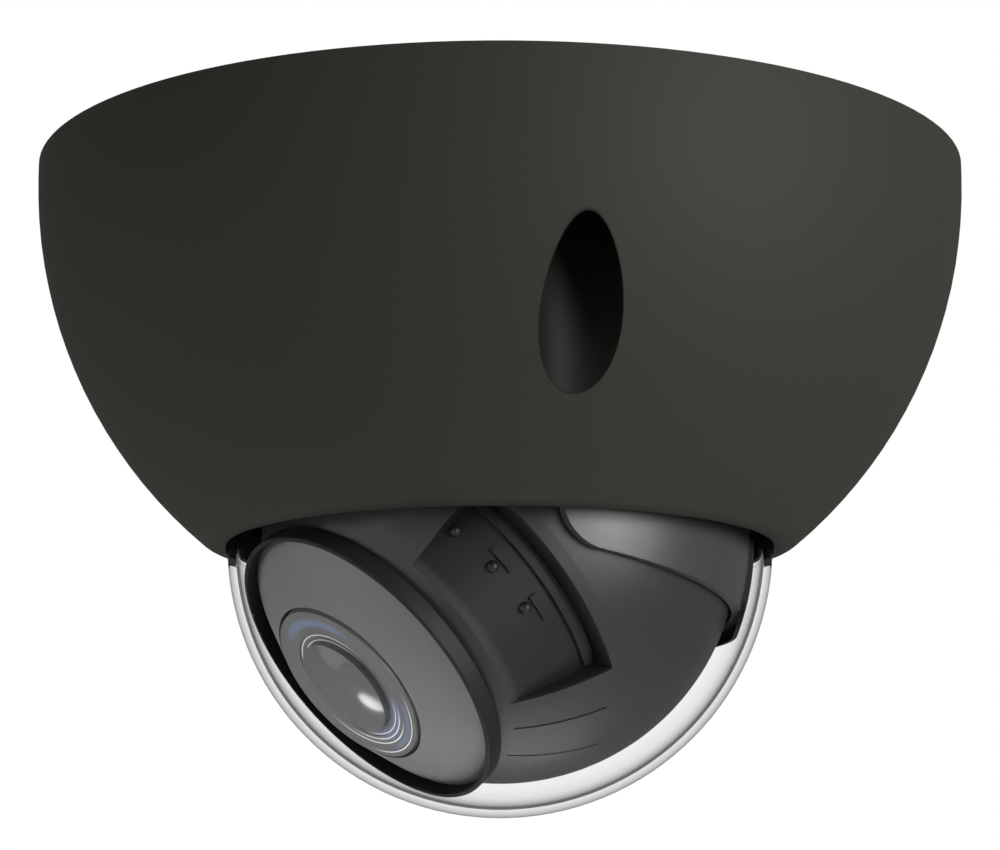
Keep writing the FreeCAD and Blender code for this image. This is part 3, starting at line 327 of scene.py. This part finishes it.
def thin_dome(name):
    """Clear moulded dome that darkens where it is seen edge on."""
    made = clear_of(name, (0.95, 0.95, 0.95), 1.01)
    tree = made.node_tree.nodes
    link = made.node_tree.links.new
    surface = tree["Principled BSDF"]
    facing = tree.new("ShaderNodeLayerWeight")
    facing.inputs["Blend"].default_value = 0.5
    edge = tree.new("ShaderNodeValToRGB")
    line = edge.color_ramp.elements
    while len(line) < len(DOME_EDGE):
        line.new(0.5)
    for spot, (place, value) in zip(line, DOME_EDGE):
        spot.position = place
        spot.color = (value, value, value, 1)
    link(facing.outputs["Facing"], edge.inputs["Fac"])
    link(edge.outputs["Color"], surface.inputs["Base Color"])
    let_light_in(made)
    return made


def let_light_in(made):
    """Lamps shine straight through thin clear pieces."""
    tree = made.node_tree.nodes
    link = made.node_tree.links.new
    clear = tree.new("ShaderNodeBsdfTransparent")
    clear.inputs["Color"].default_value = (0.93, 0.93, 0.93, 1)
    path = tree.new("ShaderNodeLightPath")
    mix = tree.new("ShaderNodeMixShader")
    link(path.outputs["Is Shadow Ray"], mix.inputs["Fac"])
    link(tree["Principled BSDF"].outputs[0], mix.inputs[1])
    link(clear.outputs[0], mix.inputs[2])
    link(mix.outputs[0], tree["Material Output"].inputs["Surface"])


# edges on the lens head, in millimetres from the ball centre or from the lens axis
RECESS_TOP, RECESS_FLOOR = 30.8, 30.5
FACE_EDGE, FACE_CORNER = 19.0, 19.15
RING_BORE, RING_WALL = 20.3, 20.5

housing_paint = finish_of("housing_paint", (0.027, 0.029, 0.0215), 0.66, 0.05, 25, 3200, 0.4, 0.04,
                          Specular_IOR_Level=0.2)
# painted shade: the cover paint turns near black inside the three screw pockets
blend_into(housing_paint, pocket_shade_mask, "Inside", 0.0, 1.0, (0.006, 0.006, 0.005))
dome_clear = thin_dome("dome_clear")
ball_plastic = finish_of("ball_plastic", (0.026, 0.026, 0.027), 0.38, 0.06, 60, 5000, 0.3, 0.01)
shroud_plastic = finish_of("shroud_plastic", (0.034, 0.034, 0.035), 0.34, 0.04, 60, 5000, 0.2, 0.005,
                           Specular_IOR_Level=1.0)
# painted shade: the head shell turns darker where it lies deeper than the recess edge
blend_into(ball_plastic, head_place, "Reach", RECESS_TOP, RECESS_FLOOR, (0.009, 0.009, 0.009))
face_grey = finish_of("face_grey", (0.175, 0.175, 0.175), 0.5, 0.05, 60, 5000, 0.3, 0.015)
# painted shade: the face plate turns darker on its rounded outer edge next to the front ring
blend_into(face_grey, head_place, "Out", FACE_EDGE, FACE_CORNER, (0.11, 0.11, 0.11))
# black ring plastic; inside 20.3 mm from the lens axis the bore is painted darker than the outer wall
# as painted shade
ring_black_shaded_bore = finish_of("ring_black_shaded_bore", (0.003, 0.003, 0.003), 0.55, 0.05, 60, 5000, 0.3, 0.01,
                        Specular_IOR_Level=0.25)
blend_into(ring_black_shaded_bore, head_place, "Out", RING_BORE, RING_WALL, (0.010, 0.010, 0.010))
bezel_grey = finish_of("bezel_grey", (0.14, 0.14, 0.142), 0.4, 0.05, 60, 5000, 0.3, 0.01)
# painted reflections: blue coating reflections and white highlights on the ring edges are painted into
# the bezel colour
blend_into(bezel_grey, lens_glints, "Coating reflections", 0.0, 1.0, (0.17, 0.21, 0.31))
blend_into(bezel_grey, lens_glints, "Rings", 0.0, 1.0, (1.0, 1.0, 1.0))
gloss_black = finish_of("gloss_black", (0.003, 0.003, 0.003), 0.45, 0.05, 60, 5000, 0.2, 0.003,
                        Specular_IOR_Level=0.15)
matte_black = finish_of("matte_black", (0.010, 0.010, 0.010), 0.5, 0.08, 60, 4000, 0.3, 0.08)
soft_rubber = finish_of("soft_rubber", (0.012, 0.012, 0.012), 0.7, 0.1, 80, 3000, 0.5, 0.15)
cast_metal = finish_of("cast_metal", (0.46, 0.47, 0.48), 0.42, 0.12, 60, 1800, 0.8, 0.3, Metallic=1.0)
zinc_steel = finish_of("zinc_steel", (0.58, 0.58, 0.56), 0.28, 0.15, 300, 6000, 0.3, 0.1, Metallic=1.0)
dark_steel = finish_of("dark_steel", (0.10, 0.10, 0.10), 0.35, 0.15, 300, 6000, 0.3, 0.1, Metallic=1.0)
bright_steel = finish_of("bright_steel", (0.72, 0.72, 0.73), 0.12, 0.1, 200, 0, 0, 0, Metallic=1.0)
turned_brass = finish_of("turned_brass", (0.66, 0.47, 0.18), 0.25, 0.1, 200, 4000, 0.2, 0.08,
                         Metallic=1.0)
green_board = finish_of("green_board", (0.010, 0.075, 0.030), 0.3, 0.2, 400, 900, 0.8, 0.2,
                        Coat_Weight=0.4)
chip_resin = finish_of("chip_resin", (0.015, 0.015, 0.016), 0.38, 0.1, 200, 6000, 0.2, 0.1)
natural_nylon = finish_of("natural_nylon", (0.72, 0.70, 0.64), 0.45, 0.05, 80, 3000, 0.3, 0.06)
lens_glass = clear_of("lens_glass", (0.93, 0.94, 0.98), 1.3)
let_light_in(lens_glass)
coated_glass = finish_of("coated_glass", (0.18, 0.18, 0.186), 0.12, 0.05, 200, 0, 0, 0,
                         Transmission_Weight=0.2, IOR=1.5)
# painted reflections: blue coating reflections and white highlights on the ring edges are painted into
# the front lens colour
blend_into(coated_glass, lens_glints, "Coating reflections", 0.0, 1.0, (0.17, 0.21, 0.31))
blend_into(coated_glass, lens_glints, "Rings", 0.0, 1.0, (1.0, 1.0, 1.0))

finishes = {
    housing_paint: ["cover"],
    dome_clear: ["dome"],
    ball_plastic: ["head_shell", "side_screws"],
    shroud_plastic: ["turret_shroud"],
    face_grey: ["face_plate"],
    gloss_black: ["rear_shield"],
    ring_black_shaded_bore: ["front_ring"],
    bezel_grey: ["lens_bezel", "lens_ring", "iris_ring"],
    matte_black: ["chassis_frame", "lens_barrel", "zoom_cell", "focus_cell",
                  "head_frame", "dome_clamp", "reset_button"],
    soft_rubber: ["seal_pad", "base_seal", "cable_grommet", "dome_seal", "screw_seals"],
    cast_metal: ["base_plate"],
    zinc_steel: ["network_connector", "card_socket", "reset_switch_body", "board_screws",
                 "chassis_screws", "pan_motor", "pan_motor_screws", "turret_screws", "clamp_screws",
                 "sensor_screws", "frame_screws", "tilt_motor", "lens_motor"],
    dark_steel: ["cover_screws"],
    bright_steel: ["bearing_outer", "bearing_balls", "bearing_inner", "pivot_pins", "guide_rods"],
    turned_brass: ["pan_pinion", "tilt_pinion"],
    green_board: ["main_board", "sensor_board"],
    chip_resin: ["processor", "image_sensor"],
    natural_nylon: ["pan_gear", "tilt_fixed_gear", "pivot_bushes", "power_connector"],
    coated_glass: ["front_lens"],
    lens_glass: ["second_lens", "zoom_lens", "focus_lens"],
}
for finish, pieces in finishes.items():
    for piece in pieces:
        nodes[piece].data.materials.clear()
        nodes[piece].data.materials.append(finish)


# surroundings -------------------------------------------------------------

FLOOR_RADIUS = 7.6
FLOOR_DROP = 1.0
FLOOR_CORNERS = 96


def floor():
    """Round pale floor one metre below the ceiling face."""
    corners = [math.tau * step / FLOOR_CORNERS for step in range(FLOOR_CORNERS)]
    mesh = bpy.data.meshes.new("floor")
    rim = [(FLOOR_RADIUS * math.cos(turn), FLOOR_RADIUS * math.sin(turn), -FLOOR_DROP)
           for turn in corners]
    mesh.from_pydata(rim, [], [tuple(range(FLOOR_CORNERS))])
    obj = bpy.data.objects.new("floor", mesh)
    bpy.context.scene.collection.objects.link(obj)
    floor_paint = finish_of("floor_paint", (0.85, 0.85, 0.84), 0.7, 0.01, 3, 300, 0, 0.05)
    path = floor_paint.node_tree.nodes.new("ShaderNodeLightPath")
    lift = floor_paint.node_tree.nodes.new("ShaderNodeMath")
    lift.operation = "MULTIPLY"
    lift.inputs[1].default_value = 0.6
    surface = floor_paint.node_tree.nodes["Principled BSDF"]
    surface.inputs["Emission Color"].default_value = (1, 1, 1, 1)
    floor_paint.node_tree.links.new(path.outputs["Is Camera Ray"], lift.inputs[0])
    floor_paint.node_tree.links.new(lift.outputs[0], surface.inputs["Emission Strength"])
    mesh.materials.append(floor_paint)


def softbox(name, azimuth, height, distance, width, power, behind=True):
    """Round area light aimed at the camera dome. It shows through clear pieces if behind is True."""
    lamp = bpy.data.lights.new(name, "AREA")
    lamp.shape = "DISK"
    lamp.size = width
    lamp.energy = power
    obj = bpy.data.objects.new(name, lamp)
    bpy.context.scene.collection.objects.link(obj)
    turn = math.radians(azimuth)
    rise = math.radians(height)
    aim = Vector((0, 0, -0.045))
    way = Vector((math.cos(turn) * math.cos(rise), math.sin(turn) * math.cos(rise), math.sin(rise)))
    obj.location = aim + way * distance
    obj.rotation_euler = way.to_track_quat("Z", "Y").to_euler()
    obj.visible_camera = False
    obj.visible_transmission = behind
    return obj


def world():
    """Even white room, seen white straight and through the clear dome, dimmer as light."""
    sky = bpy.data.worlds.new("studio")
    bpy.context.scene.world = sky
    sky.use_nodes = True
    tree = sky.node_tree.nodes
    link = sky.node_tree.links.new
    tree.clear()
    out = tree.new("ShaderNodeOutputWorld")
    seen = tree.new("ShaderNodeBackground")
    seen.inputs["Strength"].default_value = 1.0
    lit = tree.new("ShaderNodeBackground")
    lit.inputs["Strength"].default_value = 0.17
    path = tree.new("ShaderNodeLightPath")
    bounces = tree.new("ShaderNodeMath")
    bounces.operation = "ADD"
    bounced = tree.new("ShaderNodeMath")
    bounced.operation = "GREATER_THAN"
    bounced.inputs[1].default_value = 0.5
    mix = tree.new("ShaderNodeMixShader")
    for sky_part in (seen, lit):
        sky_part.inputs["Color"].default_value = (1, 1, 1, 1)
    link(path.outputs["Diffuse Depth"], bounces.inputs[0])
    link(path.outputs["Glossy Depth"], bounces.inputs[1])
    link(bounces.outputs[0], bounced.inputs[0])
    link(bounced.outputs[0], mix.inputs["Fac"])
    link(seen.outputs[0], mix.inputs[1])
    link(lit.outputs[0], mix.inputs[2])
    link(mix.outputs[0], out.inputs["Surface"])


# upward tilt of the view, in radians
LOOK_UP = 0.188


def camera():
    data = bpy.data.cameras.new("camera")
    data.lens = 109.08
    data.sensor_width = 36
    data.clip_start = 0.01
    obj = bpy.data.objects.new("camera", data)
    bpy.context.scene.collection.objects.link(obj)
    obj.location = (0, -0.392, -0.108)
    obj.rotation_euler = (math.radians(90) + LOOK_UP, 0, 0)
    bpy.context.scene.camera = obj


floor()
world()
camera()
softbox("key", -40, 4, 1.2, 0.65, 16, behind=False)
softbox("fill", 195, -25, 1.6, 2.5, 15)
softbox("under", 77, -64, 0.85, 0.6, 1.2)
softbox("glint", 149, -49, 0.85, 0.16, 0.6)
bpy.context.scene.view_settings.view_transform = "Standard"
